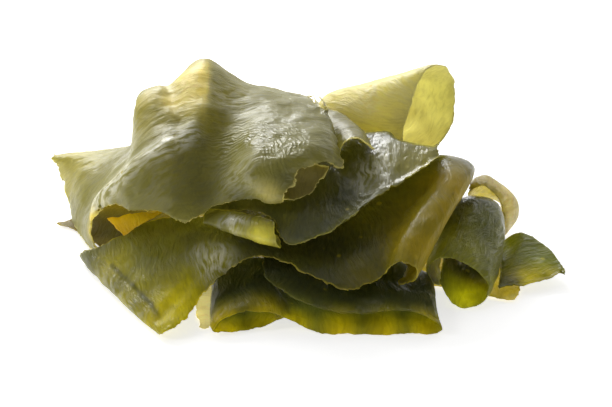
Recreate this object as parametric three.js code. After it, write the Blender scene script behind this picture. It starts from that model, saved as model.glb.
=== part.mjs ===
// Kelp frond: one broad blade split into lobes, wet and folded down on itself.
// Millimetres, +Z up. It rests on z = 0, and its front faces -Y.
// A lobe is a leathery sheet of even thickness. Its shape is a run of cross lines, and
// each cross line is the few points that the middle of the sheet passes through.
import * as THREE from "three";

const BLADE_THICKNESS = 1.6;
const STALK_SIDES = 12;

// Ground lobe: lies flat under the whole heap, from the left tip to the right end.
const groundLobe = {
  name: "ground_lobe",
  colour: 0x77701f,
  rows: 12,
  columns: 5,
  lines: [
    [[-163, 26, 1], [-163, 27, 1], [-163, 28, 1]],
    [[-150, 20, 1], [-148, 30, 1], [-147, 38, 1]],
    [[-122, -20, 1], [-119, 28, 1], [-114, 84, 1]],
    [[-84, -44, 1], [-74, 15, 1], [-72, 98, 1]],
    [[-30, -52, 1], [-25, 12, 1], [-25, 90, 1]],
    [[25, -54, 1], [25, 10, 1], [28, 76, 1]],
    [[70, -58, 1], [75, 0, 1], [78, 58, 1]],
    [[100, -70, 1], [108, -30, 1], [112, 20, 1]],
    [[115, -79, 1], [122, -50, 1], [126, -22, 1]],
    [[123, -79, 1], [126, -73, 2], [127, -68, 2]],
  ],
};

// Lower tongue: a narrow lobe lying on the ground between the left flap and the pocket.
const lowerTongueLobe = {
  name: "lower_tongue_lobe",
  colour: 0x9a8f3a,
  rows: 6,
  columns: 2,
  lines: [
    [[-67, -58, 1], [-61, -58, 1], [-54.5, -58, 1]],
    [[-65, -80, 1], [-60, -80, 1], [-54.5, -80, 1]],
    [[-62, -100, 1], [-58, -101, 1], [-54.5, -101, 1]],
    [[-60, -110, 1], [-57, -112, 1], [-54.5, -111, 1]],
  ],
};

// Front pocket: one sheet folded three times, its edge snaking along the front of the heap.
// The cross lines follow that edge; each runs from the edge back into the heap.
const frontPocketLobe = {
  name: "front_pocket_lobe",
  colour: 0x6f7418,
  rows: 38,
  columns: 5,
  lines: [
    [[-10, -110, 6], [-10, -100, 5], [-10, -88, 4], [-10, -58, 4]],
    [[-19, -112, 4], [-20, -102, 3.5], [-20, -88, 3.5], [-20, -58, 4]],
    [[-28, -114, 1], [-30, -106, 2], [-30, -90, 3], [-30, -58, 4]],
    [[-42, -118, 1], [-42, -106, 1.5], [-42, -88, 2], [-42, -60, 3]],
    [[-50, -118, 1], [-50, -104, 1.5], [-50, -86, 2], [-50, -60, 3]],
    [[-53, -121, 4], [-55, -100, 4.5], [-55, -84, 5], [-56, -60, 7]],
    [[-50, -119, 8], [-51, -100, 10], [-53, -82, 12], [-54, -58, 14]],
    [[-41, -115, 12], [-42, -102, 14], [-44, -82, 16], [-44, -56, 18]],
    [[-31, -112, 12], [-31, -102, 15], [-32, -82, 17], [-32, -56, 19]],
    [[-20, -113, 12], [-20, -102, 13.5], [-20, -82, 15], [-20, -56, 17]],
    [[-10, -114, 9], [-10, -104, 10], [-10, -86, 11], [-10, -58, 12]],
    [[-1, -116, 4], [-2, -108, 7], [-2, -94, 9], [-2, -62, 9]],
    [[7, -118, 1], [8, -110, 6], [8, -96, 8], [8, -64, 8]],
    [[25, -119, 1], [24, -110, 6], [24, -96, 8], [24, -64, 8]],
    [[44, -119, 1], [42, -110, 6], [42, -96, 7.5], [42, -64, 8]],
    [[64, -119, 1], [62, -108, 5], [62, -94, 6], [62, -66, 7]],
    [[74, -118, 1], [72, -106, 3], [72, -92, 4], [72, -66, 5]],
    [[77, -119, 4], [76, -106, 5], [76, -92, 6], [76, -64, 7]],
    [[73, -118, 8], [71, -106, 9], [71, -92, 10], [70, -62, 11]],
    [[64, -116, 12], [61, -104, 12.5], [60, -88, 13.5], [60, -60, 15]],
    [[52, -115, 14], [49, -102, 14], [48, -86, 15], [48, -58, 17]],
    [[37, -116, 12], [35, -102, 13.5], [35, -84, 15], [35, -56, 17]],
    [[24, -117, 12], [22, -102, 13], [22, -84, 15], [22, -54, 17]],
    [[12, -116, 14], [10, -100, 15], [10, -82, 17], [10, -52, 19]],
    [[-1, -114, 17], [-2, -98, 18], [-2, -80, 20], [-2, -50, 22]],
    [[-12, -107, 20], [-13, -90, 21.5], [-13, -76, 22], [-13, -48, 24]],
    [[-22, -97, 23], [-25, -84, 23], [-25, -72, 23.5], [-25, -46, 25]],
  ],
};

// Middle lobe: left flap with its edge turned under, then a dark valley, then the long roll.
const middleLobe = {
  name: "middle_lobe",
  colour: 0x6b5f1f,
  rows: 34,
  columns: 7,
  lines: [
    [[-78, -105, 1], [-91, -86, 1], [-107, -58, 1], [-119, -37, 1]],
    [[-82, -116, 1], [-96, -95, 1], [-116, -63, 1], [-135, -28, 1]],
    [[-82, -122, 2], [-99, -100, 3], [-120, -64, 4], [-141, -25, 5]],
    [[-78, -125, 5], [-94, -97, 8], [-113, -65, 11], [-129, -36, 13]],
    [[-71, -120, 7], [-84, -89, 16], [-101, -57, 20], [-111, -39, 24]],
    [[-64, -109, 10], [-73, -81, 25], [-84, -53, 29], [-94, -32, 32]],
    [[-60, -100, 15], [-60, -82, 32], [-64, -61, 34], [-66, -36, 34]],
    [[-50, -96, 23], [-47, -84, 36], [-48, -65, 36], [-50, -25, 34]],
    [[-32, -82, 32], [-30, -73, 34], [-30, -60, 34], [-32, -20, 34]],
    [[-18, -83, 30], [-14, -73, 32], [-12, -60, 34], [-14, -12, 33], [-13, 4, 22]],
    [[-3, -94, 28], [0, -80, 31], [4, -60, 35], [2, -10, 35], [3, 8, 22]],
    [[11, -100, 23], [15, -79, 30], [14, -50, 37], [18, -10, 43], [20, 12, 22]],
    [[24, -103, 20], [30, -78, 32], [32, -46, 41], [38, -8, 50], [40, 16, 22]],
    [[36, -98, 21], [45, -74, 34], [50, -42, 45], [58, -8, 54], [62, 18, 24]],
    [[45, -94, 24], [51, -78, 35], [63, -54, 48], [78, -28, 60], [80, 0, 64], [78, 20, 32]],
    [[48, -92, 30], [56, -80, 42], [69, -57, 53], [84, -32, 63], [87, 1, 63], [86, 20, 34]],
    [[54, -95, 34], [64, -78, 45], [77, -58, 55], [93, -32, 63], [94, 1, 62], [91, 16, 36]],
    [[61, -96, 32], [71, -80, 43], [83, -59, 54], [100, -26, 61], [100, 0, 59], [94, 14, 36]],
    [[63, -94, 25], [74, -78, 36], [85, -60, 48], [103, -25, 56], [104, -2, 54], [95, 10, 38]],
    [[60, -91, 19], [71, -70, 27], [76, -46, 38], [90, -22, 46], [94, -4, 46], [93, 10, 34]],
    [[53, -89, 17], [61, -70, 24], [62, -50, 34], [78, -28, 43], [84, -4, 44], [88, 14, 28]],
  ],
};

// Tongue: the small lobe that shows inside the mouth on the left.
const tongueLobe = {
  name: "tongue_lobe",
  colour: 0xb08a20,
  rows: 8,
  columns: 4,
  lines: [
    [[-109, -46, 27], [-115, -40, 30], [-120, -36, 34]],
    [[-99, -46, 34], [-103, -42, 36], [-108, -36, 36]],
    [[-89, -44, 39], [-90, -40, 39], [-91, -34, 38]],
    [[-80, -30, 40], [-78, -26, 41], [-76, -20, 42]],
  ],
};

// Arch: a wide roll on the right, open at the front, its inner end curling up.
const archLobe = {
  name: "arch_lobe",
  colour: 0x3f4f18,
  rows: 22,
  columns: 6,
  lines: [
    [[83, -66, 5], [80, -52, 8], [86, -30, 12], [94, -10, 14]],
    [[74, -78, 11], [76, -54, 15], [82, -30, 22], [90, -10, 22]],
    [[70, -78, 20], [74, -54, 24], [81, -30, 30], [88, -10, 29]],
    [[73, -80, 28], [80, -56, 31], [87, -32, 37], [92, -12, 35]],
    [[82, -80, 30], [91, -57, 38], [96, -32, 43], [101, -12, 38]],
    [[94, -80, 25], [103, -55, 37], [110, -32, 45], [110, -12, 36]],
    [[104, -80, 17], [112, -53, 30], [118, -30, 41], [115, -12, 30]],
    [[107, -82, 10], [116, -53, 20], [120, -30, 32], [116, -14, 21]],
    [[105, -85, 4], [116, -55, 10], [120, -30, 22], [116, -12, 12]],
    [[97, -88, 1], [108, -58, 8], [110, -34, 9], [111, -12, 7]],
    [[88, -88, 1], [99, -58, 8], [102, -34, 9], [104, -12, 7]],
    [[83, -85, 5], [88, -58, 11], [92, -34, 13], [98, -12, 11]],
    [[78, -81, 13], [81, -57, 17], [87, -34, 20], [96, -12, 17]],
  ],
};

// Yellow fold: hangs over the arch and down its right side.
const yellowFoldLobe = {
  name: "yellow_fold_lobe",
  colour: 0x9a8c3e,
  rows: 14,
  columns: 5,
  lines: [
    [[100, -17, 44], [103, 0, 45], [104, 16, 32], [104, 28, 18]],
    [[106, -18, 49], [112, 0, 48], [110, 18, 34], [110, 30, 20]],
    [[111, -20, 48], [118, 0, 45], [116, 18, 34], [116, 30, 20]],
    [[116, -20, 44], [126, 0, 39], [122, 18, 30], [122, 30, 18]],
    [[120, -20, 38], [133, 2, 32], [128, 18, 24], [127, 30, 16]],
    [[122, -20, 30], [136, 4, 23], [129, 18, 17], [128, 30, 12]],
    [[123, -19, 21], [135, 4, 14], [126, 18, 10], [124, 30, 8]],
    [[123, -11, 8], [122, 2, 7], [120, 18, 6], [118, 30, 5]],
    [[112, 0, 5], [112, 8, 5], [112, 20, 4], [110, 30, 4]],
  ],
};

// Right tip: the pointed end that reaches furthest right.
const rightTipLobe = {
  name: "right_tip_lobe",
  colour: 0x5f651c,
  rows: 10,
  columns: 6,
  lines: [
    [[116, -66, 5], [118, -46, 6], [114, -26, 4]],
    [[113, -74, 5], [119, -45, 8], [125, -13, 10]],
    [[121, -68, 5], [126, -46, 11], [133, -15, 16]],
    [[129, -68, 4], [134, -47, 10], [139, -21, 16]],
    [[139, -63, 5], [143, -47, 10], [146, -30, 14]],
    [[147, -60, 6], [149, -50, 9], [151, -40, 12]],
    [[151, -59, 8], [152, -54, 8], [153, -49, 10]],
    [[155, -58, 8], [155, -58, 9], [155, -55, 9]],
  ],
};

// Shoulder: the broad top on the right; its back falls away behind the ridge.
const shoulderLobe = {
  name: "shoulder_lobe",
  colour: 0x4a5226,
  rows: 22,
  columns: 10,
  lines: [
    [[-59, -47, 45.2], [-59, -38, 46], [-60, -30, 46], [-58, 10, 45], [-56, 20, 34]],
    [[-46, -53, 46.5], [-45, -40, 51], [-44, -28, 51], [-42, 10, 51], [-40, 22, 36]],
    [[-32, -61, 50], [-30, -46, 53], [-29, -26, 55], [-27, 12, 56], [-25, 24, 36]],
    [[-20, -66, 49.5], [-18, -52, 54], [-17, -26, 58], [-15, 12, 61], [-12, 26, 36]],
    [[-11, -92, 42], [-10, -85, 44], [-8, -74, 50], [-4, -53, 57], [-2, 12, 66], [0, 28, 38]],
    [[1, -88, 44], [3, -81, 46], [6, -67, 51], [11, -45, 60], [14, 14, 68], [16, 28, 38]],
    [[14, -82, 46], [16, -74, 48], [19, -61, 54], [24, -37, 63], [30, 14, 71], [31, 28, 40]],
    [[25, -73, 50], [27, -65, 52], [30, -48, 57], [35, -26, 65], [42, 14, 73], [43, 28, 40]],
    [[35, -63, 55], [37, -54, 57], [40, -39, 62], [44, -20, 69], [52, 13, 74], [54, 27, 42]],
    [[47, -55, 60], [48, -48, 62], [51, -36, 66], [53, -20, 71], [56, -6, 74], [65, 26, 44]],
    [[58, -47, 63], [59, -40, 64], [62, -30, 68], [64, -20, 71], [66, -10, 73], [74, 25, 48]],
    [[68, -40, 67], [69, -35, 68], [71, -29, 70], [72, -21, 72], [74, -14, 72], [81, 24, 54]],
    [[79, -27, 70], [79, -25, 70], [79, -23, 71], [79, -20, 72], [79, -16, 72], [86, 22, 60]],
  ],
};

// Small scroll: the piece of margin that rolls under in front of the shoulder.
const smallScrollLobe = {
  name: "small_scroll_lobe",
  colour: 0x8a8434,
  rows: 8,
  columns: 9,
  lines: [
    [[-60, -49, 46], [-60, -56, 46], [-60, -60, 45], [-60, -62, 44], [-60, -61, 43], [-60, -59, 43]],
    [
      [-51, -54, 47.5], [-51, -62, 47.5], [-51, -68, 45.5],
      [-51, -68, 43], [-51, -65, 42], [-51, -63, 43.5],
    ],
    [[-39, -62, 49], [-39, -71, 49.5], [-39, -78, 46], [-39, -76, 41], [-39, -70, 42], [-39, -71, 45]],
    [[-28, -68, 49.5], [-28, -76, 50], [-28, -84, 45], [-28, -80, 39], [-28, -74, 41], [-28, -76, 45]],
    [[-19, -72, 48], [-18, -80, 48.5], [-17, -88, 43.5], [-14, -84, 37], [-15, -78, 39], [-17, -79, 43]],
  ],
};

// Back scroll: the tall open roll standing behind on the right.
const backScrollLobe = {
  name: "back_scroll_lobe",
  colour: 0x8a8a3c,
  rows: 18,
  columns: 9,
  lines: [
    [[62, 36, 50], [44, 42, 50], [26, 50, 48], [12, 50, 44], [2, 44, 34]],
    [[62, 36, 64], [44, 44, 66], [26, 52, 62], [12, 56, 56], [0, 46, 38]],
    [[68, 38, 83], [46, 48, 80], [26, 58, 73], [12, 64, 67], [-1, 50, 42]],
    [[74, 44, 100], [50, 56, 89], [28, 68, 79], [12, 73, 73], [-2, 58, 46]],
    [[84, 52, 103], [58, 66, 90], [34, 78, 79], [14, 82, 70], [-2, 66, 45]],
    [[93, 60, 97], [66, 76, 84], [40, 88, 72], [16, 89, 62], [-2, 72, 42]],
    [[98, 66, 82], [72, 84, 70], [46, 95, 60], [19, 94, 52], [0, 76, 37]],
    [[98, 66, 69], [74, 85, 56], [50, 97, 46], [22, 96, 42], [2, 78, 33]],
    [[96, 60, 56], [74, 80, 42], [52, 92, 32], [26, 92, 30], [4, 76, 29]],
    [[87, 50, 47], [70, 70, 30], [52, 82, 21], [28, 84, 21], [6, 70, 26]],
  ],
};

// Back flap: closes the heap behind, under the back scroll.
const backFlapLobe = {
  name: "back_flap_lobe",
  colour: 0x6a6a24,
  rows: 12,
  columns: 5,
  lines: [
    [[-30, 36, 30], [-28, 56, 28], [-26, 80, 16], [-28, 98, 3]],
    [[0, 32, 26], [2, 52, 22], [4, 76, 14], [6, 100, 8]],
    [[30, 30, 28], [31, 50, 20], [33, 72, 13], [38, 94, 12]],
    [[56, 28, 30], [60, 46, 22], [64, 64, 11], [70, 80, 4]],
    [[78, 28, 30], [86, 42, 22], [92, 54, 10], [98, 66, 3]],
  ],
};

// Crown: from the left corner over the peak to the hood, with a curtain down the back.
// The last two cross lines are the hood: its bend, then its free edge.
const crownLobe = {
  name: "crown_lobe",
  colour: 0x5d5f2a,
  rows: 36,
  columns: 19,
  lines: [
    [
      [-124, -27, 4], [-134, -15, 4], [-144, 4, 4], [-153, 32, 5],
      [-163, 58, 25], [-169, 58, 36], [-160, 76, 26], [-154, 82, 3],
    ],
    [
      [-131, -24, 12], [-135, -18, 14], [-140, -2, 16], [-141, 14, 24],
      [-147, 43, 33], [-150, 61, 37], [-142, 84, 26], [-138, 92, 3],
    ],
    [
      [-132, -26, 26], [-130, -23, 34], [-128, -9, 38], [-126, 18, 40],
      [-127, 43, 40], [-125, 59, 40], [-116, 88, 30], [-116, 102, 3],
    ],
    [
      [-123, -30, 41], [-117, -35, 52], [-110, -31, 62.5], [-107, -10, 64],
      [-106, 7, 64], [-109, 45, 53], [-100, 92, 40], [-98, 112, 10],
    ],
    [
      [-103, -54, 48], [-99, -54, 60], [-97.5, -43, 72], [-100, -18, 79], [-104, -2, 87],
      [-104, 13, 95], [-105, 60, 73], [-90, 100, 52], [-86, 116, 14],
    ],
    [
      [-82, -59, 48], [-81, -56, 62], [-81, -42, 78], [-85, -15, 89],
      [-92, 15, 100.5], [-96, 62, 76], [-80, 104, 56], [-74, 120, 12],
    ],
    [
      [-76, -62, 46], [-75, -55, 59], [-74, -39, 76], [-77, -12, 89],
      [-85, 17, 98.5], [-88, 64, 78], [-72, 106, 55], [-66, 121, 11],
    ],
    [
      [-69, -65, 45], [-67, -54, 57], [-65, -36, 76], [-64, -6, 95],
      [-65, 36, 112.5], [-65, 76, 88], [-60, 108, 56], [-54, 122, 10],
    ],
    [
      [-55, -61, 53], [-50, -47, 64], [-45, -26, 78], [-42, 2, 91],
      [-41, 31, 98], [-42, 88, 68], [-38, 104, 52], [-34, 116, 14],
    ],
    [
      [-35, -61, 58], [-33, -66, 71], [-28, -55, 83], [-20, -22, 89.5],
      [-15, 37, 90.5], [-13, 72, 68], [-20, 84, 58], [-24, 92, 24],
    ],
    [
      [-19, -70, 58], [-17, -71, 65], [-14, -66, 75], [-7, -62, 82], [4, -53, 84],
      [10, -36, 86], [12, -12, 88], [9, 12, 92], [5, 32, 90], [0, 50, 80], [-6, 58, 71],
      [-10, 62, 62],
    ],
    [
      [-13.5, -70, 59], [-12, -70, 64.5], [-9.5, -67, 69], [-6.5, -64, 74], [-1, -60, 77.5],
      [7, -54, 78], [15, -49, 75], [22, -45.5, 70.5], [22, -40, 73], [18, -30, 78],
      [17, -12, 84], [14, 10, 89], [9, 31, 87], [3, 49, 78], [-3, 57, 70], [-7, 61, 62],
    ],
  ],
};
// Hood lining: the far wall of the hood, seen through its mouth.
// The cross lines climb from the floor of the mouth to the beak; each ends at the free edge.
const hoodLiningLobe = {
  name: "hood_lining_lobe",
  colour: 0x6b5f33,
  rows: 8,
  columns: 6,
  lines: [
    [[-18, -64, 58.5], [-10, -64, 58], [-4, -62, 58.5], [3, -58.5, 60]],
    [[-19, -57, 62], [-10, -58, 61], [-2, -57.5, 61.5], [6, -55.5, 62.5]],
    [[-19, -52, 68], [-9, -53, 66], [0, -53, 65.5], [9, -52, 66]],
    [[-18, -49, 74], [-8, -50, 72], [3, -49.5, 70.5], [12, -48.5, 69]],
    [[-16, -48, 79], [-5, -48, 76.5], [6, -46.5, 73.5], [13.5, -45, 71.5]],
  ],
};

// Brow: a low arch of margin standing up behind the hood's beak.
// The cross lines run from one foot of the arch to the other, the first one at its mouth.
const browLobe = {
  name: "brow_lobe",
  colour: 0x6b6436,
  rows: 10,
  columns: 6,
  lines: [
    [[20, -29, 71.5], [21.5, -28, 77], [26, -27, 82], [32, -27, 82.5], [37, -28, 78.5], [40, -29, 75]],
    [[19, -22, 73], [21.5, -21, 78], [26, -20, 82.5], [31, -20, 82.5], [36, -21, 79], [39, -22, 75.5]],
    [[14, -8, 77], [18, -8, 78], [24.5, -8, 82.5], [30, -8, 82], [34, -8, 79.5], [37, -8, 76]],
    [[9, 10, 80], [13, 9, 80.5], [20, 8, 82.5], [26, 7, 81.5], [30, 6, 79], [33, 5, 76]],
    [[3, 28, 78], [8, 27, 79], [14, 26, 81], [19, 24, 80.5], [23, 22, 78.5], [26, 20, 76.5]],
  ],
};

// Stalk: the thick foot of the blade, flat where the lobes leave it and oval at the cut end.
const stalk = {
  name: "cut_stalk",
  colour: 0x5a4a20,
  ovals: [
    { centre: [30, 62, 6], halfWidth: 16, halfHeight: 2.2 },
    { centre: [34, 84, 5], halfWidth: 11, halfHeight: 3 },
    { centre: [38, 104, 4.3], halfWidth: 8, halfHeight: 4.2 },
    { centre: [41, 118, 4.5], halfWidth: 7.5, halfHeight: 4.5 },
  ],
};

const LOBES = [
  groundLobe, lowerTongueLobe, frontPocketLobe, middleLobe, tongueLobe, archLobe, yellowFoldLobe,
  rightTipLobe, shoulderLobe, smallScrollLobe, backScrollLobe, backFlapLobe, crownLobe,
  hoodLiningLobe, browLobe,
];

function pointsOnCurve(points, count) {
  return new THREE.CatmullRomCurve3(points, false, "centripetal").getPoints(count);
}

// The middle of the sheet as a grid: rows along the lobe, columns across it.
function middleOfSheet(lobe) {
  const across = lobe.lines.map((line) =>
    pointsOnCurve(line.map((point) => new THREE.Vector3(...point)), lobe.columns));
  const along = across[0].map((_, column) =>
    pointsOnCurve(across.map((line) => line[column]), lobe.rows));
  return along[0].map((_, row) => along.map((curve) => curve[row]));
}

function sheetNormal(grid, row, column) {
  const nextRow = Math.min(row + 1, grid.length - 1);
  const nextColumn = Math.min(column + 1, grid[0].length - 1);
  const lengthwise = grid[nextRow][column].clone().sub(grid[Math.max(row - 1, 0)][column]);
  const crosswise = grid[row][nextColumn].clone().sub(grid[row][Math.max(column - 1, 0)]);
  return lengthwise.cross(crosswise).normalize();
}

// One face of the sheet, half a thickness out from its middle and never below the ground.
function sheetFace(grid, offset) {
  return grid.flatMap((line, row) => line.map((point, column) => {
    const moved = point.clone().addScaledVector(sheetNormal(grid, row, column), offset);
    moved.z = Math.max(moved.z, 0);
    return moved;
  }));
}

// Two triangles for a four-sided patch, divided along its longer diagonal.
function splitPatch(points, [a, b, c, d]) {
  const acrossAC = points[a].distanceTo(points[c]) > points[b].distanceTo(points[d]);
  return acrossAC ? [a, b, c, a, c, d] : [a, b, d, b, c, d];
}

// Patches of the top face, the bottom face and the cut edge all round.
function sheetPatches(rows, columns) {
  const top = (row, column) => row * (columns + 1) + column;
  const bottom = (row, column) => (rows + 1) * (columns + 1) + top(row, column);
  const patches = [];
  for (let row = 0; row < rows; row++) {
    for (let column = 0; column < columns; column++) {
      const corners = [[row, column], [row + 1, column], [row + 1, column + 1], [row, column + 1]];
      patches.push(corners.map((corner) => top(...corner)));
      patches.push(corners.reverse().map((corner) => bottom(...corner)));
    }
    patches.push([top(row, 0), bottom(row, 0), bottom(row + 1, 0), top(row + 1, 0)]);
    const last = columns;
    patches.push([top(row, last), top(row + 1, last), bottom(row + 1, last), bottom(row, last)]);
  }
  for (let column = 0; column < columns; column++) {
    const next = column + 1;
    patches.push([top(0, column), top(0, next), bottom(0, next), bottom(0, column)]);
    patches.push([top(rows, column), bottom(rows, column), bottom(rows, next), top(rows, next)]);
  }
  return patches;
}

function surfaceGeometry(points, patches) {
  const geometry = new THREE.BufferGeometry().setFromPoints(points);
  geometry.setIndex(patches.flatMap((patch) => splitPatch(points, patch)));
  geometry.computeVertexNormals();
  return geometry;
}

function lobeGeometry(lobe) {
  const grid = middleOfSheet(lobe);
  const half = BLADE_THICKNESS / 2;
  const points = [...sheetFace(grid, half), ...sheetFace(grid, -half)];
  return surfaceGeometry(points, sheetPatches(lobe.rows, lobe.columns));
}

function ovalRing({ centre, halfWidth, halfHeight }) {
  return Array.from({ length: STALK_SIDES }, (_, side) => {
    const angle = (2 * Math.PI * side) / STALK_SIDES;
    const x = centre[0] + halfWidth * Math.cos(angle);
    const z = centre[2] + halfHeight * Math.sin(angle);
    return new THREE.Vector3(x, centre[1], Math.max(z, 0));
  });
}

// Rings of points joined side by side, with a fan closing each end.
function stalkGeometry({ ovals }) {
  const rings = ovals.map(ovalRing);
  const ends = [ovals[0], ovals.at(-1)].map(({ centre }) => new THREE.Vector3(...centre));
  const points = [...rings.flat(), ...ends];
  const faces = [];
  for (let side = 0; side < STALK_SIDES; side++) {
    const next = (side + 1) % STALK_SIDES;
    for (let ring = 0; ring < rings.length - 1; ring++) {
      const near = ring * STALK_SIDES;
      const far = near + STALK_SIDES;
      faces.push(near + side, far + next, near + next, near + side, far + side, far + next);
    }
    const last = (rings.length - 1) * STALK_SIDES;
    faces.push(points.length - 2, side, next, points.length - 1, last + next, last + side);
  }
  const geometry = new THREE.BufferGeometry().setFromPoints(points);
  geometry.setIndex(faces);
  geometry.computeVertexNormals();
  return geometry;
}

function namedMesh(name, colour, geometry) {
  const skin = new THREE.MeshStandardMaterial({ color: colour, roughness: 0.3, metalness: 0 });
  skin.side = THREE.FrontSide;
  const mesh = new THREE.Mesh(geometry, skin);
  mesh.name = name;
  return mesh;
}

const frond = new THREE.Group();
frond.name = "kelp_frond";
LOBES.forEach((lobe) => frond.add(namedMesh(lobe.name, lobe.colour, lobeGeometry(lobe))));
frond.add(namedMesh(stalk.name, stalk.colour, stalkGeometry(stalk)));

// Stand the whole frond on z = 0 with the middle of its outline over the origin.
const outline = new THREE.Box3().setFromObject(frond);
const middle = outline.getCenter(new THREE.Vector3());
frond.children.forEach((piece) => piece.geometry.translate(-middle.x, -middle.y, -outline.min.z));

export default frond;
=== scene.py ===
# %% [markdown]
# # A wet kelp frond
# The frond is one broad blade divided into lobes, and it lies folded down on itself. Each lobe
# is already there as a plain solid sheet. Here every sheet gets what makes it kelp: a thin
# ragged margin, ripples and fine creases, and a wet skin that lets the light through.

# %% Load the frame
import math

import bmesh
import bpy
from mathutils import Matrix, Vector, kdtree, noise
from mathutils.bvhtree import BVHTree


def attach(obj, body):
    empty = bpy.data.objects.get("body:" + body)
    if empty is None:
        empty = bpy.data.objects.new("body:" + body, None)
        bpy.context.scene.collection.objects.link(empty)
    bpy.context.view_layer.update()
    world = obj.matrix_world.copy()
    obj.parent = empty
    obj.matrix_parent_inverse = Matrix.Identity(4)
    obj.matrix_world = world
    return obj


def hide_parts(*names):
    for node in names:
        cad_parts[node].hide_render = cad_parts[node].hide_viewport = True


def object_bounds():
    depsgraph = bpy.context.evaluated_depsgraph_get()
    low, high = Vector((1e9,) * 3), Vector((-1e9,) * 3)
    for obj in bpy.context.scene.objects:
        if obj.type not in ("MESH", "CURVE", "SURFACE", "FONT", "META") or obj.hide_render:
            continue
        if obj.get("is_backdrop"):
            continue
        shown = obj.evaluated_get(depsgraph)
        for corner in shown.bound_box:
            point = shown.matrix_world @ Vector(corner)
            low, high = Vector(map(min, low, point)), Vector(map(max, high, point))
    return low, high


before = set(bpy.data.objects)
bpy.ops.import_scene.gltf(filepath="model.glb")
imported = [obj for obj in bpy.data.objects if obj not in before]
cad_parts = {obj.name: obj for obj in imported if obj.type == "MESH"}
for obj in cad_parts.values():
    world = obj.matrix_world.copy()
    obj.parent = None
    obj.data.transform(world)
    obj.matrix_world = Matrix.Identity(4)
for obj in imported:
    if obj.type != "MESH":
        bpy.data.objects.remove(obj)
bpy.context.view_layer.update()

# %% [markdown]
# ## The camera
# A long lens keeps the front of the heap from swelling. It looks down at 24 degrees, so that
# the folds at the front and the top of the crown both show.

# %% Camera
LENS = 85
LOOK_DOWN = math.radians(24)
AIM = Vector((0.0066, 0.0011, 0.028))
camera = bpy.data.objects.new("camera", bpy.data.cameras.new("camera"))
bpy.context.scene.collection.objects.link(camera)
camera.data.lens = LENS
away = Vector((0, -math.cos(LOOK_DOWN), math.sin(LOOK_DOWN)))
camera.location = AIM + 0.909 * away
camera.rotation_euler = away.to_track_quat("Z", "Y").to_euler()
bpy.context.scene.camera = camera
print("camera at", [round(c, 3) for c in camera.location])

# %% [markdown]
# ## From a solid sheet to one skin
# The solid of a lobe has two broad faces and a narrow cut edge all round. A ripple must move
# both broad faces together, so a copy keeps just one of them, and the thickness is put back
# at the end with a Solidify modifier. The cut edge meets the broad faces at nearly a right
# angle, so edges sharper than 56 degrees part the copy into its faces.

# %% Select one piece and nothing else
def only(piece):
    bpy.ops.object.select_all(action="DESELECT")
    piece.select_set(True)
    bpy.context.view_layer.objects.active = piece

# %% Copy a lobe and join its loose triangles
MERGE = 0.00002

def copy_of(node, name):
    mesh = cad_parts[node].data.copy()
    piece = bpy.data.objects.new(name, mesh)
    bpy.context.scene.collection.objects.link(piece)
    mesh.materials.clear()
    only(piece)
    bpy.ops.object.mode_set(mode="EDIT")
    bpy.ops.mesh.select_mode(type="VERT")
    bpy.ops.mesh.select_all(action="SELECT")
    bpy.ops.mesh.remove_doubles(threshold=MERGE)
    bpy.ops.object.mode_set(mode="OBJECT")
    return piece

# %% Keep the largest face and what it folds into
# A part with fewer triangles than this is a sliver, and one near the size of the largest is
# the other side of the sheet.
SHARP = math.radians(56)
SMALLEST_FOLD = 100
OTHER_SIDE = 0.6

def parts_between_seams(mesh):
    left, parts = set(mesh.faces), []
    for face in mesh.faces:
        if face in left:
            left.discard(face)
            part, queue = [face], [face]
            while queue:
                for edge in queue.pop().edges:
                    for other in edge.link_faces:
                        if not edge.seam and other in left:
                            left.discard(other)
                            part.append(other)
                            queue.append(other)
            parts.append(part)
    return sorted(parts, key=len, reverse=True)

def keep_one_face(piece):
    only(piece)
    bpy.ops.object.mode_set(mode="EDIT")
    bpy.ops.mesh.select_mode(type="EDGE")
    bpy.ops.mesh.select_all(action="DESELECT")
    bpy.ops.mesh.edges_select_sharp(sharpness=SHARP)
    bpy.ops.mesh.mark_seam()
    bpy.ops.mesh.select_mode(type="FACE")
    mesh = bmesh.from_edit_mesh(piece.data)
    parts = parts_between_seams(mesh)
    kept = set(parts[0])
    for part in parts[1:]:
        touching = any(f in kept for face in part for edge in face.edges for f in edge.link_faces)
        if SMALLEST_FOLD < len(part) < OTHER_SIDE * len(parts[0]) and touching:
            kept.update(part)
    for face in mesh.faces:
        face.select_set(face not in kept)
    bpy.ops.mesh.delete(type="FACE")
    bpy.ops.mesh.select_all(action="SELECT")
    bpy.ops.mesh.mark_seam(clear=True)
    bpy.ops.mesh.tris_convert_to_quads(face_threshold=math.pi, shape_threshold=math.pi)
    bpy.ops.object.mode_set(mode="OBJECT")
    print(piece.name, "one face of", len(piece.data.polygons), "patches")

# %% [markdown]
# ## Laying the skin flat
# Creases and grain follow the blade, not the room it lies in, so each skin is unwrapped and
# its flat map is scaled to metres. Three millimetres on the map are then three on the kelp.

# %% Unwrap in metres
def flat_area(piece):
    uv = piece.data.uv_layers["sheet"].data
    area = 0
    for face in piece.data.polygons:
        ring = [uv[i].uv for i in face.loop_indices]
        area += abs(sum(a.x * b.y - b.x * a.y for a, b in zip(ring, ring[1:] + ring[:1]))) / 2
    return area

def lay_flat(piece):
    only(piece)
    for old in list(piece.data.uv_layers):
        piece.data.uv_layers.remove(old)
    piece.data.uv_layers.new(name="sheet")
    bpy.ops.object.mode_set(mode="EDIT")
    bpy.ops.mesh.select_all(action="SELECT")
    bpy.ops.uv.unwrap(method="ANGLE_BASED", margin=0)
    bpy.ops.object.mode_set(mode="OBJECT")
    real = sum(face.area for face in piece.data.polygons)
    size = math.sqrt(real / flat_area(piece))
    for corner in piece.data.uv_layers["sheet"].data:
        corner.uv = corner.uv * size
    print(piece.name, "laid flat covers", round(real * 1e4), "cm2")

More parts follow.
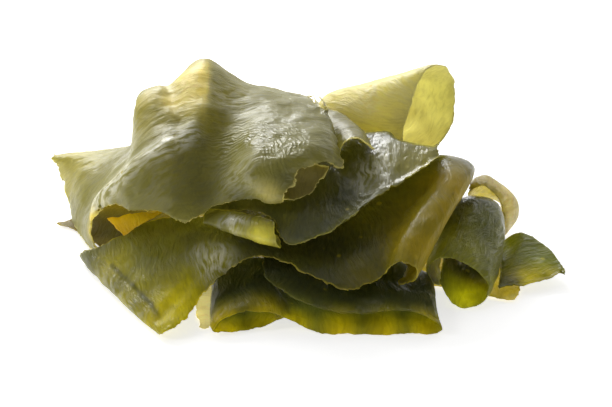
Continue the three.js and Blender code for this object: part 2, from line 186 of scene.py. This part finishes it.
# %% [markdown]
# ## Refining the skin
# A Subdivision Surface modifier rounds the patches and gives points close enough for ripples
# a few millimetres long. The margin is marked first: each point learns how far it is from
# the nearest edge, and how much room it has before it meets a neighbouring lobe or the floor.

# %% Subdivide
def apply_all(piece):
    only(piece)
    for modifier in list(piece.modifiers):
        bpy.ops.object.modifier_apply(modifier=modifier.name)

def refine(piece, levels):
    finer = piece.modifiers.new("finer", "SUBSURF")
    finer.levels = finer.render_levels = levels
    finer.boundary_smooth = "PRESERVE_CORNERS"
    apply_all(piece)

# %% Distance from the margin
def margin_points(mesh):
    uses = {}
    for face in mesh.polygons:
        for key in face.edge_keys:
            uses[key] = uses.get(key, 0) + 1
    return sorted({v for key, count in uses.items() if count == 1 for v in key})

def measure_margin(piece):
    mesh = piece.data
    edge = margin_points(mesh)
    tree = kdtree.KDTree(len(edge))
    for i in edge:
        tree.insert(mesh.vertices[i].co, i)
    tree.balance()
    inward = mesh.attributes.new("inward", "FLOAT", "POINT")
    inward.data.foreach_set("value", [tree.find(v.co)[2] for v in mesh.vertices])

# %% Room before the next lobe
THICKNESS = 0.0016
CLEARANCE = 0.0003
PLENTY = 0.003
SINK = 0.0012

TOUCHING = THICKNESS / 2 + CLEARANCE
FAR = TOUCHING + PLENTY

def shell_of(mesh):
    return BVHTree.FromPolygons([v.co.copy() for v in mesh.vertices],
                                [tuple(face.vertices) for face in mesh.polygons])

shells = {name: shell_of(lobe.data) for name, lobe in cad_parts.items()}

def give_room(piece, node):
    others = [shell for name, shell in shells.items() if name != node]
    room = piece.vertex_groups.new(name="room")
    for vertex in piece.data.vertices:
        middle = vertex.co - vertex.normal * THICKNESS / 2
        gap = min(FAR, middle.z + SINK)
        for shell in others:
            found = shell.find_nearest(middle, gap)
            gap = found[3] if found[0] else gap
        room.add([vertex.index], max(0, min(1, (gap - TOUCHING) / PLENTY)), "REPLACE")

# %% [markdown]
# ## Ripples, ruffles and a torn margin
# Displace modifiers push the skin in and out with soft noise: broad swells first, then finer
# creases that are drawn out along the blade. Near the margin a second noise moves the points
# sideways as well, which leaves the edge wavy and nibbled.

# %% Noise patterns for the displacement
def cloud(name, size, depth=2):
    pattern = bpy.data.textures.new(name, "CLOUDS")
    pattern.noise_scale = size
    pattern.noise_depth = depth
    return pattern

swell_pattern = cloud("swells", 0.022, 1)
ripple_pattern = cloud("ripples", 0.009, 2)
crease_pattern = cloud("creases", 0.012, 2)

# %% Ripples over the whole skin
LONG_U, LONG_V = 0.35 / 2, 1.6 / 2

def ripple(piece, swell, ripples, creases):
    long_map = piece.data.uv_layers.new(name="long")
    flat = piece.data.uv_layers["sheet"].data
    for corner, source in zip(long_map.data, flat):
        u, v = source.uv
        corner.uv = (u * LONG_U, v * LONG_V)
    for name, pattern, strength in (("swells", swell_pattern, swell),
                                    ("ripples", ripple_pattern, ripples),
                                    ("creases", crease_pattern, creases)):
        push = piece.modifiers.new(name, "DISPLACE")
        push.texture = pattern
        push.strength = strength
        push.mid_level = 0.5
        push.vertex_group = "room"
        push.texture_coords = "LOCAL"
        if pattern == crease_pattern:
            push.texture_coords = "UV"
            push.uv_layer = "long"
    apply_all(piece)
    piece.data.uv_layers.remove(piece.data.uv_layers["long"])

# %% Raise or press a crease along a line
def crease_along(piece, line, reach, height):
    points = [Vector(p) / 1000 for p in line]
    normals = [vertex.normal.copy() for vertex in piece.data.vertices]
    for vertex, normal in zip(piece.data.vertices, normals):
        nearest = reach
        for a, b in zip(points, points[1:]):
            along = (vertex.co - a).dot(b - a) / (b - a).length_squared
            foot = a + (b - a) * max(0, min(1, along))
            nearest = min(nearest, (vertex.co - foot).length)
        near = 1 - nearest / reach
        vertex.co = vertex.co + normal * height * near * near * (3 - 2 * near)

# %% Torn margin
# Without a seed the noise vectors start from the clock, and every run tears differently.
TEAR_SEED = 5
COARSE_TEAR, FINE_TEAR = 170, 520
TEAR_SIDEWAYS = 0.6
noise.seed_set(TEAR_SEED)

def tear_margin(piece, reach, coarse, fine, calm):
    inward = [depth.value for depth in piece.data.attributes["inward"].data]
    normals = [vertex.normal.copy() for vertex in piece.data.vertices]
    for vertex, depth, normal in zip(piece.data.vertices, inward, normals):
        if depth < reach:
            near = (1 - depth / reach) ** 2
            for x, y, z, radius in calm:
                away = (vertex.co - Vector((x, y, z)) / 1000).length
                near *= min(1, away / (radius / 1000)) ** 2
            push = noise.noise_vector(vertex.co * COARSE_TEAR) * coarse
            push += noise.noise_vector(vertex.co * FINE_TEAR) * fine * near
            push -= normal * push.dot(normal) * TEAR_SIDEWAYS
            vertex.co = vertex.co + push * near

# %% Thickness
TAPER = 0.0035
THINNEST = 0.3

def thicken(piece):
    thin = piece.vertex_groups.new(name="thickness")
    inward = piece.data.attributes["inward"].data
    for vertex in piece.data.vertices:
        depth = min(1, inward[vertex.index].value / TAPER)
        thin.add([vertex.index], THINNEST + (1 - THINNEST) * depth, "REPLACE")
    wall = piece.modifiers.new("wall", "SOLIDIFY")
    wall.thickness = THICKNESS
    wall.offset = -1
    wall.vertex_group = "thickness"
    apply_all(piece)
    for vertex in piece.data.vertices:
        vertex.co.z = max(0, vertex.co.z)
    only(piece)
    bpy.ops.object.shade_smooth()

# %% [markdown]
# ## The skin
# Wet kelp is a dark olive film over a paler body. Seen against light it glows yellow green, so
# a Principled shader for the wet surface is added to a Translucent one for the light that
# comes through. Amounts are painted on the points first: thin places, which let more light
# through and carry painted back-light glow; a second colour, which is the roll's own gold tone
# and painted shade elsewhere; painted shade; and painted highlights. The painted glow, shade
# and highlights copy glare, shade and back light, so they stay under any other light.

# %% Small helpers for wiring nodes
class Wiring:
    def __init__(self, name):
        self.material = bpy.data.materials.new(name)
        self.material.use_nodes = True
        self.tree = self.material.node_tree
        self.tree.nodes.clear()

    def put(self, kind, inputs=None, **settings):
        made = self.tree.nodes.new(kind)
        for key, value in settings.items():
            setattr(made, key, value)
        for key, value in (inputs or {}).items():
            self.feed(made.inputs[key], value)
        return made

    def feed(self, socket, value):
        if isinstance(value, bpy.types.NodeSocket):
            self.tree.links.new(value, socket)
        elif hasattr(value, "outputs"):
            self.tree.links.new(value.outputs[0], socket)
        elif isinstance(value, tuple) and len(value) == 3 and socket.type == "RGBA":
            socket.default_value = (*value, 1)
        else:
            socket.default_value = value

    def maths(self, operation, a, b=0.0, clamp=False):
        return self.put("ShaderNodeMath", {0: a, 1: b}, operation=operation, use_clamp=clamp)

    def blend(self, share, a, b, way="MIX"):
        made = self.put("ShaderNodeMix", data_type="RGBA", blend_type=way)
        self.feed(made.inputs[0], share)
        self.feed(made.inputs[6], a)
        self.feed(made.inputs[7], b)
        return made.outputs[2]

    def ease(self, value, low, high, to_low=0.0, to_high=1.0):
        return self.put("ShaderNodeMapRange", {0: value, 1: low, 2: high, 3: to_low, 4: to_high},
                        interpolation_type="SMOOTHSTEP")

    def noise(self, place, scale, detail=3.0, rough=0.55):
        return self.put("ShaderNodeTexNoise",
                        {"Vector": place, "Scale": scale, "Detail": detail, "Roughness": rough})

    def vector_noise(self, place, scale, reach):
        cloud = self.noise(place, scale, 2)
        return self.put("ShaderNodeVectorMath", {0: cloud.outputs["Color"], "Scale": reach},
                        operation="SCALE")

# %% Skin of one lobe
YOLK = (0.40, 0.33, 0.03)
# Colour of painted highlights: whitish sheen and glare on the wet skin.
PAINTED_SHEEN_COLOUR = (0.78, 0.77, 0.66)
# Colour and film of painted shade in valleys, creases and hollows.
PAINTED_SHADE_COLOUR = (0.026, 0.032, 0.022)
PAINTED_SHADE_FILM = (0.12, 0.13, 0.09)
HAIR = (260, 1300, 1)
FOLD = (120, 420, 1)

def kelp_skin(name, deep, bright, film, painted_glow_base, thin_film, tint_and_shade_colour=(0.17, 0.14, 0.012),
              tint_and_shade_film=(0.4, 0.33, 0.03), rim=(0.50, 0.42, 0.14), rim_share=0.5,
              crinkle=1.0, blister=0.0, rough=0.26, shine=0.4, rings=None):
    w = Wiring(name)
    place = w.put("ShaderNodeTexCoord").outputs["Object"]
    sheet = w.put("ShaderNodeUVMap", uv_map="sheet")
    inward = w.put("ShaderNodeAttribute", attribute_name="inward").outputs["Fac"]
    thin = w.put("ShaderNodeAttribute", attribute_name="thin").outputs["Fac"]
    tint_and_shade = w.put("ShaderNodeAttribute", attribute_name="tint_and_shade").outputs["Fac"]
    painted_shade = w.put("ShaderNodeAttribute", attribute_name="painted_shade").outputs["Fac"]
    painted_sheen = w.put("ShaderNodeAttribute", attribute_name="painted_sheen").outputs["Fac"]
    wander = w.put("ShaderNodeVectorMath", {0: sheet, 1: w.vector_noise(place, 26, 0.02)},
                   operation="ADD")
    hair = w.noise(w.put("ShaderNodeMapping", {"Vector": wander, "Scale": HAIR}), 1.0, 3)
    folds = w.noise(w.put("ShaderNodeMapping", {"Vector": wander, "Scale": FOLD}), 1.0, 4)
    mottle = w.noise(place, 48, 5)
    patches = w.noise(place, 17, 3)
    colour = w.blend(w.ease(mottle, 0.36, 0.68), deep, bright)
    colour = w.blend(w.ease(patches, 0.5, 0.72, 0, 0.55), colour, bright)
    colour = w.blend(w.ease(hair, 0.35, 0.75, 0, 0.35), colour, deep)
    # This mask mixes in a second colour: the roll's own warm gold tone, and painted shade on the
    # crown.
    colour = w.blend(tint_and_shade, colour, tint_and_shade_colour)
    # Thin places get a lighter base colour, which is painted back-light glow.
    colour = w.blend(thin, colour, painted_glow_base)
    # Painted highlights: whitish sheen and glare, broken up along the folds.
    painted_sheen_here = w.maths("MULTIPLY", painted_sheen, w.ease(folds, 0.38, 0.60))
    colour = w.blend(painted_sheen_here, colour, PAINTED_SHEEN_COLOUR)
    # Painted shade in valleys, creases and hollows.
    colour = w.blend(painted_shade, colour, PAINTED_SHADE_COLOUR)
    specks = w.put("ShaderNodeTexVoronoi", {"Vector": place, "Scale": 80.0})
    speck = w.maths("MULTIPLY", w.ease(specks, 0.09, 0.16, 1, 0), w.ease(patches, 0.56, 0.6))
    colour = w.blend(speck, colour, YOLK)
    edge = w.maths("ADD", inward, w.ease(mottle, 0.3, 0.7, -0.0002, 0.0006))
    rim_here = w.ease(edge, 0.0001, 0.0011, rim_share, 0)
    colour = w.blend(rim_here, colour, rim)
    glow = w.blend(tint_and_shade, film, tint_and_shade_film)
    glow = w.blend(thin, glow, thin_film)
    # Painted shade dims the light that comes through as well.
    glow = w.blend(painted_shade, glow, PAINTED_SHADE_FILM)
    glow = w.blend(rim_here, glow, thin_film)
    glow = w.blend(w.ease(mottle, 0.36, 0.68, 0, 0.35), glow, (0, 0, 0))
    glow = w.blend(w.ease(folds, 0.4, 0.7, 0, 0.2), glow, (0, 0, 0))
    bumps = w.put("ShaderNodeBump", {"Height": hair, "Strength": 0.5 * crinkle,
                                     "Distance": 0.0005})
    bumps = w.put("ShaderNodeBump", {"Height": folds, "Strength": 0.7 * crinkle,
                                     "Distance": 0.0016, "Normal": bumps})
    if blister:
        cells = w.put("ShaderNodeTexVoronoi", {"Vector": place, "Scale": 330.0},
                      feature="SMOOTH_F1")
        lumps = w.maths("MULTIPLY", cells, w.ease(patches, 0.45, 0.56))
        bumps = w.put("ShaderNodeBump", {"Height": lumps, "Strength": blister,
                                         "Distance": 0.0012, "Normal": bumps})
    if rings:
        centred = w.put("ShaderNodeMapping", {"Vector": place, "Location": [-c for c in rings]})
        bent = w.put("ShaderNodeVectorMath", {0: centred, 1: w.vector_noise(place, 55, 0.014)},
                     operation="ADD")
        waves = w.put("ShaderNodeTexWave",
                      {"Vector": bent, "Scale": 120.0, "Distortion": 7.0, "Detail": 3.0,
                       "Detail Scale": 1.5}, wave_type="RINGS", rings_direction="SPHERICAL")
        away = w.put("ShaderNodeVectorMath", {0: centred}, operation="LENGTH").outputs["Value"]
        ring = w.maths("MULTIPLY", w.ease(away, 0.009, 0.018), w.ease(away, 0.03, 0.05, 1, 0))
        ridges = w.maths("MULTIPLY", waves.outputs["Fac"], ring)
        bumps = w.put("ShaderNodeBump", {"Height": ridges, "Strength": 0.3,
                                         "Distance": 0.0009, "Normal": bumps})
    dullness = w.ease(patches, 0.3, 0.7, rough * 0.7, rough * 1.35)
    dullness = w.maths("ADD", dullness, w.maths("MULTIPLY", tint_and_shade, 0.2))
    dullness = w.maths("ADD", dullness, w.maths("MULTIPLY", thin, 0.12))
    skin = w.put("ShaderNodeBsdfPrincipled",
                 {"Base Color": colour, "Roughness": dullness, "Normal": bumps,
                  "Specular IOR Level": shine})
    through = w.put("ShaderNodeBsdfTranslucent", {"Color": glow, "Normal": bumps})
    both = w.put("ShaderNodeAddShader", {0: skin, 1: through})
    w.put("ShaderNodeOutputMaterial", {"Surface": both})
    return w.material

# %% Paint an amount around each spot: x, y, z, radius, amount, and at most an x to stop at
# The x to stop at gives a painted glow a hard edge, as on the crown's peak.
CUT_WIDTH = 0.005

def paint(piece, label, spots):
    mesh = piece.data
    painted = mesh.attributes.new(label, "FLOAT", "POINT")
    centres = [(Vector(spot[:3]) / 1000, spot[3] / 1000, spot[4],
                spot[5] / 1000 if len(spot) > 5 else math.inf) for spot in spots]
    amounts = []
    for vertex in mesh.vertices:
        amount = 0.0
        for centre, radius, most, right in centres:
            near = max(0, 1 - (vertex.co - centre).length / radius)
            near *= max(0, min(1, (right - vertex.co.x) / CUT_WIDTH))
            amount = max(amount, most * near * near * (3 - 2 * near))
        amounts.append(amount)
    painted.data.foreach_set("value", amounts)

# %% Spots strung along a line
def along(line, radius, amount):
    spots = []
    for a, b in zip(line, line[1:]):
        a, b = Vector(a), Vector(b)
        steps = max(1, round((b - a).length / (radius / 2)))
        spots += [(*a.lerp(b, i / steps), radius, amount) for i in range(steps + 1)]
    return spots

# %% [markdown]
# ## Making a lobe
# All the lobes go through the same steps and differ in how fine, how rippled and how green
# they are.

# %% One lobe from start to finish
TEAR_REACH = 0.006
COARSE_PUSH, FINE_PUSH = 0.0018, 0.0012

def make_lobe(node, name, slot, levels, swell, ripples, creases, torn, skin,
              thin=(), tint_and_shade=(), painted_shade=(), painted_sheen=(), lines=(), calm=()):
    piece = copy_of(node, name)
    keep_one_face(piece)
    lay_flat(piece)
    refine(piece, levels - (0))
    measure_margin(piece)
    give_room(piece, node)
    for line, reach, height in lines:
        crease_along(piece, line, reach, height)
    ripple(piece, swell, ripples, creases)
    tear_margin(piece, TEAR_REACH, COARSE_PUSH * torn, FINE_PUSH * torn, calm)
    # Thin places let more light through; their lighter base colour is painted back-light glow.
    paint(piece, "thin", thin)
    # Second colour: the roll's own warm gold tone, and painted shade on the crown.
    paint(piece, "tint_and_shade", tint_and_shade)
    # Painted shade.
    paint(piece, "painted_shade", painted_shade)
    # Painted highlights.
    paint(piece, "painted_sheen", painted_sheen)
    thicken(piece)
    piece.data.materials.append(kelp_skin(slot, **skin))
    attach(piece, "root")
    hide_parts(node)
    print(name, "has", sum(len(f.vertices) - 2 for f in piece.data.polygons), "triangles")
    return piece

# %% Crown, with its hood and brow
crown_look = dict(deep=(0.125, 0.118, 0.028), bright=(0.25, 0.235, 0.07),
                  film=(0.47, 0.45, 0.11), painted_glow_base=(0.54, 0.48, 0.17),
                  # The crown's second colour is a deeper olive for painted shade.
                  thin_film=(0.86, 0.79, 0.40), tint_and_shade_colour=(0.11, 0.105, 0.016),
                  tint_and_shade_film=(0.36, 0.34, 0.04), rim=(0.55, 0.49, 0.16), rim_share=0.8,
                  crinkle=0.55, rough=0.36)
ridge = [(-55, -8, 95), (-63, -25, 85), (-77, -37, 81), (-98, -40, 68), (-113, -32, 51),
         (-121, -25, 39)]
hood_left = [(-46, -14, 88), (-52, -33, 78), (-54, -44, 70), (-50, -55, 60)]
make_lobe("crown_lobe", "crown", "crown_skin", 3, 0.002, 0.0014, 0.0014, 1.4,
          dict(crown_look, rings=(-0.030, -0.052, 0.075)),
          # Thin spots; the peak's glow is painted back light, with a hard right edge at x -50 mm.
          thin=[(-62, 12, 104, 42, 1.0, -50), (-74, 2, 96, 20, 0.8), (-60, 22, 110, 22, 1.0, -50),
                (-124, -25, 32, 13, 0.9), (-122, -24, 20, 13, 0.9),
                (-91, 6, 98, 18, 0.7), (-152, 55, 32, 40, 0.35), (-88, -7, 84, 26, 0.3),
                (-15, -69, 66, 13, 0.55)],
          # Painted shade: deeper olive across the middle, below the hood and at the hood lip.
          tint_and_shade=[(-50, -12, 92, 24, 0.4), (-57, -36, 76, 24, 0.5), (-55, -52, 60, 22, 0.5),
                  (-36, -64, 58, 14, 0.7)],
          # Painted highlights: sheen along the ridge and whitish glare patches.
          painted_sheen=[*along(ridge[1:], 12, 1.0), (-79, -53, 67, 24, 0.15), (-104, -6, 74, 24, 0.5),
                (-35, -56, 72, 28, 0.3), (-40, 10, 92, 30, 0.4), (-128, 42, 37, 34, 0.15)],
          # Painted shade on the lower crown and at the hood.
          painted_shade=[(-60, -48, 66, 30, 0.22), (-56, -26, 82, 18, 0.2), (-70, -54, 60, 26, 0.2),
                (-90, -52, 58, 20, 0.2), (-34, -66, 60, 14, 0.4), (-6, -66, 74, 12, 0.35)],
          lines=[(ridge, 0.012, 0.0022), (hood_left, 0.012, -0.0022)],
          calm=[(6, 54, 76, 30), (18, 30, 88, 24)])
make_lobe("hood_lining_lobe", "hood_lining", "lining_skin", 4, 0.001, 0.001, 0.001, 0.7,
          dict(crown_look, deep=(0.15, 0.12, 0.04), bright=(0.26, 0.22, 0.08)))
make_lobe("brow_lobe", "brow", "brow_skin", 4, 0.001, 0.001, 0.001, 0.9,
          dict(crown_look, deep=(0.12, 0.11, 0.035), bright=(0.24, 0.22, 0.09)))

# %% Shoulder and small scroll
shoulder_look = dict(deep=(0.030, 0.036, 0.018), bright=(0.12, 0.115, 0.032),
                     film=(0.38, 0.38, 0.09), painted_glow_base=(0.22, 0.20, 0.05),
                     thin_film=(0.7, 0.66, 0.12), rim=(0.40, 0.34, 0.10), rim_share=0.5,
                     blister=0.3, rough=0.2, crinkle=0.6)
make_lobe("shoulder_lobe", "shoulder", "shoulder_skin", 3, 0.0018, 0.0008, 0.0009, 1.1,
          shoulder_look, thin=[(72, -28, 69, 36, 0.8), (53, -42, 64, 26, 0.35)],
          # Painted highlights: a whitish glare patch on the shoulder.
          painted_sheen=[(46, -33, 65, 18, 0.8), (40, -44, 60, 12, 0.6), (52, -24, 70, 14, 0.6)])
make_lobe("small_scroll_lobe", "small_scroll", "small_scroll_skin", 4, 0.0006, 0.0008,
          0.0008, 0.45,
          dict(deep=(0.075, 0.075, 0.016), bright=(0.20, 0.19, 0.05), film=(0.40, 0.38, 0.05),
               painted_glow_base=(0.44, 0.41, 0.10), thin_film=(0.85, 0.82, 0.12),
               rim=(0.5, 0.44, 0.12), rough=0.2),
          thin=[(-20, -84, 44, 20, 1.0), (-34, -80, 42, 14, 0.7)],
          # Painted highlight patch.
          painted_sheen=[(-36, -71, 49, 14, 0.7)])

# %% Middle lobe, from the left flap to the golden roll
flap_fold = [(-124, -40, 12), (-110, -55, 13), (-96, -77, 12), (-82, -99, 10), (-76, -112, 8)]
tip_fold = [(-76, -112, 8), (-66, -100, 15), (-57, -90, 24)]
make_lobe("middle_lobe", "middle", "middle_skin", 3, 0.0014, 0.001, 0.0012, 1.0,
          dict(deep=(0.050, 0.052, 0.016), bright=(0.120, 0.110, 0.018),
               film=(0.34, 0.34, 0.06), painted_glow_base=(0.165, 0.148, 0.003),
               thin_film=(0.82, 0.76, 0.02), tint_and_shade_colour=(0.28, 0.225, 0.012),
               tint_and_shade_film=(0.62, 0.52, 0.03), rim=(0.42, 0.34, 0.08), rim_share=0.6,
               rough=0.17, crinkle=1.0, shine=0.32),
          thin=[(-70, -108, 10, 46, 1.0), (-98, -84, 9, 30, 0.6), (-110, -58, 12, 28, 0.7),
                (-45, -86, 30, 22, 0.3)],
          # The roll's own warm gold tone.
          tint_and_shade=[(85, -63, 50, 42, 1.0), (72, -84, 38, 36, 1.0), (98, -42, 56, 40, 1.0),
                  (66, -72, 40, 26, 0.7), (40, -95, 24, 24, 0.35)],
          # Painted shade along the flap's fold and in the valleys.
          painted_shade=[*along(flap_fold[1:5], 2.4, 0.7), (18, -66, 36, 26, 0.5), (-20, -70, 36, 24, 0.6),
                (-58, -60, 33, 16, 0.5)],
          # Painted highlights: a glare patch on the flap and sheen along its left margin.
          painted_sheen=[(-44, -88, 32, 20, 0.6), (-54, -78, 33, 14, 0.3),
                *along([(-118, -56, 8), (-104, -80, 6), (-90, -103, 5)], 7, 0.3)],
          lines=[(flap_fold, 0.006, -0.0008), (tip_fold, 0.006, -0.0010)])

# %% Back scroll
make_lobe("back_scroll_lobe", "back_scroll", "back_scroll_skin", 3, 0.0012, 0.001, 0.001,
          0.6, dict(deep=(0.30, 0.28, 0.11), bright=(0.54, 0.50, 0.26),
                    film=(0.70, 0.67, 0.36), painted_glow_base=(0.32, 0.30, 0.09),
                    thin_film=(0.58, 0.56, 0.27), rim=(0.5, 0.45, 0.15), rough=0.36,
                    crinkle=1.0),
          # The outer layer gets painted highlights.
          thin=[(92, 66, 76, 46, 1.0)], painted_sheen=[(44, 50, 78, 24, 0.4), (66, 52, 88, 20, 0.4)])

# %% Arch, fold and right tip
make_lobe("arch_lobe", "arch", "arch_skin", 4, 0.0014, 0.0012, 0.0012, 0.4,
          dict(deep=(0.050, 0.056, 0.018), bright=(0.20, 0.195, 0.024),
               film=(0.42, 0.43, 0.08), painted_glow_base=(0.20, 0.195, 0.012),
               thin_film=(0.68, 0.66, 0.06), rim=(0.10, 0.11, 0.02), rim_share=0.4,
               crinkle=1.6, rough=0.15, shine=0.5),
          thin=[(103, -80, 2, 26, 1.0), (112, -74, 10, 14, 0.6), (100, -70, 32, 26, 0.7),
                (112, -60, 26, 14, 0.3)],
          # Painted shade inside the arch.
          painted_shade=[(101, -52, 12, 22, 0.9), (78, -78, 14, 14, 0.8), (106, -28, 43, 18, 0.6)])
make_lobe("yellow_fold_lobe", "yellow_fold", "fold_skin", 4, 0.0012, 0.001, 0.001, 0.6,
          dict(deep=(0.15, 0.13, 0.02), bright=(0.30, 0.26, 0.045), film=(0.68, 0.62, 0.18),
               painted_glow_base=(0.4, 0.34, 0.08), thin_film=(0.85, 0.78, 0.25),
               rim=(0.16, 0.12, 0.03), rim_share=0.6),
          thin=[(128, -14, 38, 24, 0.8), (130, -10, 26, 18, 0.8)])
make_lobe("right_tip_lobe", "right_tip", "tip_skin", 4, 0.0012, 0.001, 0.001, 0.6,
          dict(deep=(0.040, 0.044, 0.010), bright=(0.10, 0.10, 0.018),
               film=(0.36, 0.38, 0.04), painted_glow_base=(0.13, 0.115, 0.008),
               thin_film=(0.70, 0.64, 0.05), rim=(0.16, 0.14, 0.03), rim_share=0.5,
               rough=0.24),
          thin=[(142, -60, 6, 20, 1.0), (152, -56, 8, 12, 0.8)],
          # A painted highlight spot.
          painted_sheen=[(147, -46, 11, 5, 0.6)])

# %% Front pocket
make_lobe("front_pocket_lobe", "front_pocket", "pocket_skin", 3, 0.0012, 0.001, 0.001, 0.6,
          dict(deep=(0.024, 0.030, 0.018), bright=(0.062, 0.066, 0.022),
               film=(0.26, 0.28, 0.09), painted_glow_base=(0.16, 0.140, 0.004),
               thin_film=(0.76, 0.67, 0.03), rim=(0.20, 0.18, 0.03), rim_share=0.1,
               rough=0.17, shine=0.3),
          thin=[(-39, -118, 8, 26, 1.0), (-18, -112, 11, 24, 1.0),
                (-30, -106, 16, 12, 0.6), (0, -116, 5, 20, 0.9),
                (26, -118, 3, 22, 1.0), (50, -118, 3, 22, 1.0), (74, -116, 4, 20, 1.0)])

# %% Ground lobe, tongue and back flap
make_lobe("ground_lobe", "ground", "ground_skin", 4, 0.001, 0.001, 0.001, 0.6,
          dict(deep=(0.22, 0.19, 0.03), bright=(0.42, 0.37, 0.07), film=(0.64, 0.57, 0.12),
               painted_glow_base=(0.4, 0.34, 0.07), thin_film=(0.8, 0.74, 0.12),
               rim=(0.4, 0.33, 0.08), rim_share=0.4, tint_and_shade_colour=(0.10, 0.06, 0.008),
               tint_and_shade_film=(0.36, 0.24, 0.02)),
          # Deeper brown across the part that lies under the heap.
          tint_and_shade=[(-118, 20, 3, 75, 1.0), (-60, -20, 3, 90, 1.0)],
          # Painted shade at the left, under the crown.
          painted_shade=[(-112, 20, 3, 60, 0.75)])
make_lobe("tongue_lobe", "tongue", "tongue_skin", 4, 0.0006, 0.0006, 0.0006, 0.4,
          dict(deep=(0.28, 0.19, 0.006), bright=(0.50, 0.38, 0.012), film=(0.76, 0.62, 0.03),
               painted_glow_base=(0.5, 0.3, 0.02), thin_film=(0.8, 0.6, 0.05),
               rim=(0.2, 0.1, 0.01), rim_share=0.4))
make_lobe("lower_tongue_lobe", "lower_tongue", "lower_tongue_skin", 4, 0.0006, 0.0006,
          0.0006, 0.5, dict(deep=(0.42, 0.39, 0.22), bright=(0.60, 0.57, 0.38),
                            film=(0.74, 0.71, 0.52), painted_glow_base=(0.5, 0.46, 0.12),
                            thin_film=(0.85, 0.8, 0.3)))
make_lobe("back_flap_lobe", "back_flap", "flap_skin", 4, 0.0018, 0.0016, 0.0016, 1.0,
          dict(deep=(0.06, 0.055, 0.012), bright=(0.15, 0.14, 0.035),
               film=(0.45, 0.42, 0.06), painted_glow_base=(0.3, 0.27, 0.06),
               thin_film=(0.8, 0.74, 0.2)))

# %% [markdown]
# ## The cut stalk
# The stalk is a tough solid stem, cut across. It only needs rounding and a skin.

# %% Stalk
stalk = copy_of("cut_stalk", "stalk")
finer = stalk.modifiers.new("finer", "SUBSURF")
finer.levels = finer.render_levels = 2
apply_all(stalk)
bpy.ops.object.shade_smooth()
for label in ("inward", "thin", "tint_and_shade", "painted_shade", "painted_sheen"):
    stalk.data.attributes.new(label, "FLOAT", "POINT")
stalk.data.attributes["inward"].data.foreach_set("value", [1.0] * len(stalk.data.vertices))
stalk.data.uv_layers.new(name="sheet")
stalk.data.materials.append(kelp_skin(
    "stalk_skin", (0.07, 0.05, 0.012), (0.18, 0.13, 0.03), (0.1, 0.08, 0.01),
    (0.2, 0.15, 0.04), (0.3, 0.2, 0.05)))
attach(stalk, "root")
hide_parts("cut_stalk")
print("stalk has", sum(len(f.vertices) - 2 for f in stalk.data.polygons), "triangles")

# %% [markdown]
# ## Floor and light
# A glowing pale floor and white surroundings send light through the thin margins from behind.
# A broad lamp above the back gives the wet highlights, and a weak one at the left lifts the
# shadows without a highlight of its own.

# %% Floor
bpy.ops.object.select_all(action="DESELECT")
bpy.ops.mesh.primitive_plane_add(size=8, location=(0, 0, -0.0002))
floor = bpy.context.object
floor.name = "floor"
w = Wiring("floor_paint")
w.put("ShaderNodeOutputMaterial", {"Surface": w.put(
    "ShaderNodeBsdfPrincipled", {"Base Color": (0.8, 0.8, 0.8), "Roughness": 0.6,
                                 "Emission Color": (1.0, 1.0, 1.0),
                                 "Emission Strength": 0.68})})
floor.data.materials.append(w.material)
bpy.ops.object.select_all(action="DESELECT")
floor.select_set(True)
bpy.ops.object.transform_apply(location=True, rotation=True, scale=True)
floor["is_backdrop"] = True
print("floor laid, 8 m across")

# %% Surroundings, white at the back and dimmer towards the front
def surroundings(front, back, seen):
    world = bpy.data.worlds.new("surroundings")
    bpy.context.scene.world = world
    world.use_nodes = True
    tree = world.node_tree
    tree.nodes.clear()
    put = tree.nodes.new
    place = put("ShaderNodeTexCoord")
    parts = put("ShaderNodeSeparateXYZ")
    grade = put("ShaderNodeMapRange")
    lit = put("ShaderNodeBackground")
    shown = put("ShaderNodeBackground")
    mix = put("ShaderNodeMixShader")
    path = put("ShaderNodeLightPath")
    out = put("ShaderNodeOutputWorld")
    tree.links.new(place.outputs["Generated"], parts.inputs[0])
    tree.links.new(parts.outputs["Y"], grade.inputs[0])
    grade.inputs[1].default_value, grade.inputs[2].default_value = 0.05, 0.9
    grade.inputs[3].default_value, grade.inputs[4].default_value = front, back
    tree.links.new(grade.outputs[0], lit.inputs[1])
    shown.inputs[1].default_value = seen
    for ground in (lit, shown):
        ground.inputs[0].default_value = (1, 1, 1, 1)
    tree.links.new(path.outputs["Is Camera Ray"], mix.inputs[0])
    tree.links.new(lit.outputs[0], mix.inputs[1])
    tree.links.new(shown.outputs[0], mix.inputs[2])
    tree.links.new(mix.outputs[0], out.inputs[0])

surroundings(0.10, 1.2, 1.0)
print("surroundings 1.2 bright behind and 0.1 in front")

# %% Lamps
def lamp(name, place, aim, size, power):
    light = bpy.data.lights.new(name, "AREA")
    light.shape = "RECTANGLE"
    light.size, light.size_y = size
    light.energy = power
    made = bpy.data.objects.new(name, light)
    bpy.context.scene.collection.objects.link(made)
    made.location = place
    made.rotation_euler = (Vector(place) - Vector(aim)).to_track_quat("Z", "Y").to_euler()
    return made

lamp("overhead", (-0.32, 0.75, 0.62), (0, 0, 0.04), (0.6, 0.3), 8.5)
side = lamp("side", (-0.75, -0.2, 0.5), (-0.05, 0, 0.05), (0.25, 0.25), 1.8)
side.visible_glossy = False
bpy.context.scene.view_settings.view_transform = "Standard"
print("two lamps placed")

# %% Print the size of the finished frond
rough_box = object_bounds()
finished = [round(1000 * side, 1) for side in rough_box[1] - rough_box[0]]
print("size of the finished frond in mm:", finished)
